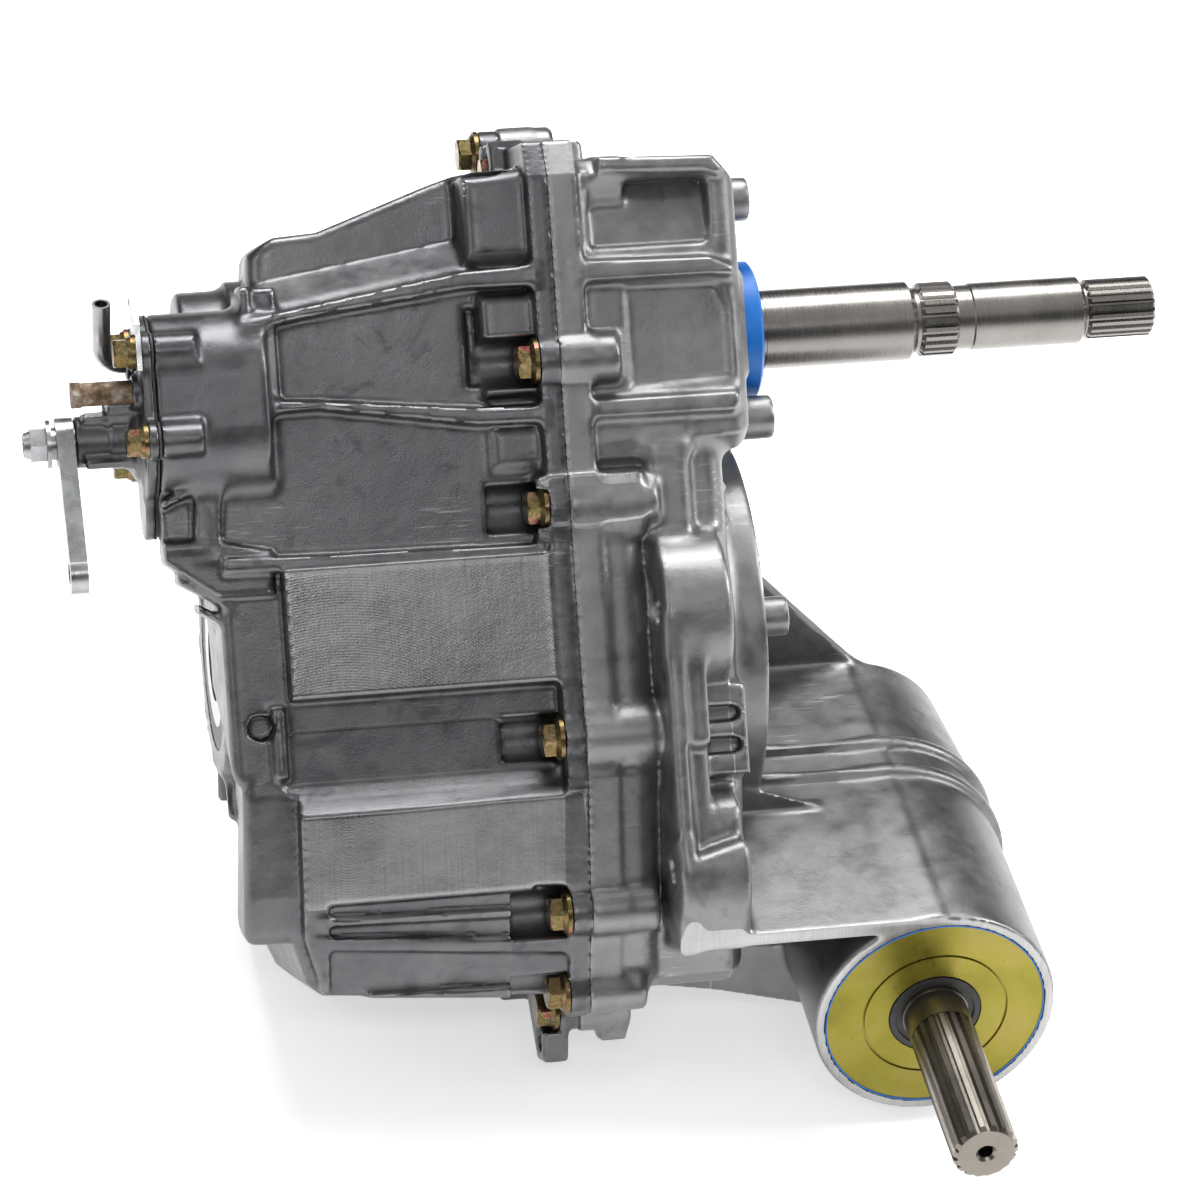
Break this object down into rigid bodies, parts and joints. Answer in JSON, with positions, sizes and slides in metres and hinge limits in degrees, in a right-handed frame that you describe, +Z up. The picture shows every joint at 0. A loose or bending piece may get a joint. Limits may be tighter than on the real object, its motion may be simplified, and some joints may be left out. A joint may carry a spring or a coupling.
{
  "type": "vehicle transmission",
  "caption": "Two-half cast gearbox with a splined input shaft, a side tube carrying a splined front output, rear axle bores, mounting ears and a drum shift lever.",
  "frame": {"origin": "middle of the clutch journal of the input shaft, on its axis", "axes": "+X along the input shaft, outwards to the clutch; -Y along the front output shaft, outwards; +Z up"},
  "size_m": [0.4465, 0.3852, 0.3439],
  "materials": {
    "cast": "die cast, lightly bead blasted",
    "zinc_yellow": "yellow zinc plate",
    "steel_ground": "ground steel",
    "steel_gear": "hardened gear steel",
    "steel_bearing": "polished bearing steel",
    "steel_phosphate": "phosphate coated steel",
    "seal_blue": "moulded rubber",
    "seal_black": "nitrile rubber",
    "zinc_olive": "olive chromate",
    "zinc_bright": "bright zinc plate",
    "bronze": "aluminium bronze",
    "gasket": "sealant",
    "rust": "lightly rusted steel"
  },
  "bodies": {
    "case": {"left_case": "cast", "right_case": "cast", "shift_cover": "cast", "cover_gasket": "gasket", "case_bolts": "zinc_yellow", "cover_bolts": "zinc_yellow", "dowel_pins": "steel_ground", "input_bearing_left": "steel_bearing", "input_bearing_right": "steel_bearing", "input_seal": "seal_blue", "counter_bearing_left": "steel_bearing", "counter_bearing_right": "steel_bearing", "idler_pin": "steel_ground", "spool_bearing_left": "steel_bearing", "spool_bearing_right": "steel_bearing", "axle_seal_left": "seal_black", "axle_seal_right": "seal_black", "transfer_bearing_left": "steel_bearing", "transfer_bearing_right": "steel_bearing", "output_bearing_front": "steel_bearing", "output_bearing_rear": "steel_bearing", "output_snap_ring": "steel_phosphate", "output_seal": "zinc_olive", "output_seal_lip": "seal_black", "output_seal_band": "seal_blue", "shift_seal": "seal_black", "vent_tube": "zinc_bright", "detent_bolt": "rust", "hose_bracket": "zinc_bright", "fill_plug": "zinc_bright"},
    "input": {"input_shaft": "steel_ground", "input_high_gear": "steel_gear", "input_snap_ring": "steel_phosphate"},
    "countershaft": {"counter_shaft": "steel_ground", "thrust_washers": "steel_bearing"},
    "low_gear": {"low_gear": "steel_gear"},
    "high_gear": {"high_gear": "steel_gear"},
    "reverse_gear": {"reverse_gear": "steel_gear"},
    "idler": {"reverse_idler": "steel_gear"},
    "range_collar": {"range_collar": "steel_gear"},
    "reverse_collar": {"reverse_collar": "steel_gear"},
    "rear_spool": {"rear_spool": "steel_ground", "ring_gear": "steel_gear", "ring_gear_bolts": "steel_phosphate"},
    "transfer": {"transfer_shaft": "steel_ground", "transfer_gear": "steel_gear", "bevel_pinion": "steel_gear"},
    "front_output": {"output_shaft": "steel_phosphate", "bevel_gear": "steel_gear"},
    "shifter": {"shift_shaft": "steel_ground", "shift_drum": "steel_gear", "shift_lever": "zinc_bright", "lever_washer": "zinc_bright", "lever_nut": "zinc_bright"},
    "range_fork": {"range_fork": "bronze"},
    "rail": {"fork_rail": "steel_ground", "reverse_fork": "bronze"}
  },
  "joints": [
    {"name": "input_spin", "type": "hinge", "parent": "case", "child": "input", "pos_m": [-0.119, 0, 0], "axis": [1, 0, 0], "continuous": true},
    {"name": "counter_spin", "type": "hinge", "parent": "case", "child": "countershaft", "pos_m": [-0.119, 0.03205, -0.06223], "axis": [1, 0, 0], "continuous": true},
    {"name": "low_gear_spin", "type": "hinge", "parent": "case", "child": "low_gear", "pos_m": [-0.119, 0.03205, -0.06223], "axis": [1, 0, 0], "continuous": true},
    {"name": "high_gear_spin", "type": "hinge", "parent": "case", "child": "high_gear", "pos_m": [-0.119, 0.03205, -0.06223], "axis": [1, 0, 0], "continuous": true},
    {"name": "reverse_gear_spin", "type": "hinge", "parent": "case", "child": "reverse_gear", "pos_m": [-0.119, 0.03205, -0.06223], "axis": [1, 0, 0], "continuous": true},
    {"name": "idler_spin", "type": "hinge", "parent": "case", "child": "idler", "pos_m": [-0.119, -0.01946, -0.02909], "axis": [1, 0, 0], "continuous": true},
    {"name": "rear_output_spin", "type": "hinge", "parent": "case", "child": "rear_spool", "pos_m": [-0.119, -0.04, -0.111], "axis": [1, 0, 0], "continuous": true},
    {"name": "transfer_spin", "type": "hinge", "parent": "case", "child": "transfer", "pos_m": [-0.119, -0.08385, -0.1964], "axis": [1, 0, 0], "continuous": true},
    {"name": "front_output_spin", "type": "hinge", "parent": "case", "child": "front_output", "pos_m": [0.0129, -0.185, -0.1964], "axis": [0, -1, 0], "continuous": true},
    {"name": "shift_turn", "type": "hinge", "parent": "case", "child": "shifter", "pos_m": [-0.299, -0.05154, 0.0029], "axis": [1, 0, 0], "range_deg": [-40, 40]},
    {"name": "range_fork_slide", "type": "slide", "parent": "case", "child": "range_fork", "axis": [1, 0, 0], "range_m": [-0.004, 0.004]},
    {"name": "rail_slide", "type": "slide", "parent": "case", "child": "rail", "axis": [1, 0, 0], "range_m": [-0.004, 0.004]},
    {"name": "range_collar_slide", "type": "slide", "parent": "countershaft", "child": "range_collar", "axis": [1, 0, 0], "range_m": [-0.004, 0.004]},
    {"name": "reverse_collar_slide", "type": "slide", "parent": "countershaft", "child": "reverse_collar", "axis": [1, 0, 0], "range_m": [-0.004, 0.004]}
  ],
  "couplings": [
    {"joint": "low_gear_spin", "follows": "input_spin", "ratio": -0.4},
    {"joint": "high_gear_spin", "follows": "input_spin", "ratio": -0.86667},
    {"joint": "idler_spin", "follows": "input_spin", "ratio": -1.1538},
    {"joint": "reverse_gear_spin", "follows": "input_spin", "ratio": 0.41667},
    {"joint": "counter_spin", "follows": "rear_output_spin", "ratio": -3.1429},
    {"joint": "transfer_spin", "follows": "rear_output_spin", "ratio": -2.2},
    {"joint": "front_output_spin", "follows": "rear_output_spin", "ratio": -2.2},
    {"joint": "range_fork_slide", "follows": "shift_turn", "m_per_rad": 0.00573},
    {"joint": "rail_slide", "follows": "shift_turn", "m_per_rad": 0.00573},
    {"joint": "range_collar_slide", "follows": "shift_turn", "m_per_rad": 0.00573},
    {"joint": "reverse_collar_slide", "follows": "shift_turn", "m_per_rad": 0.00573}
  ]
}
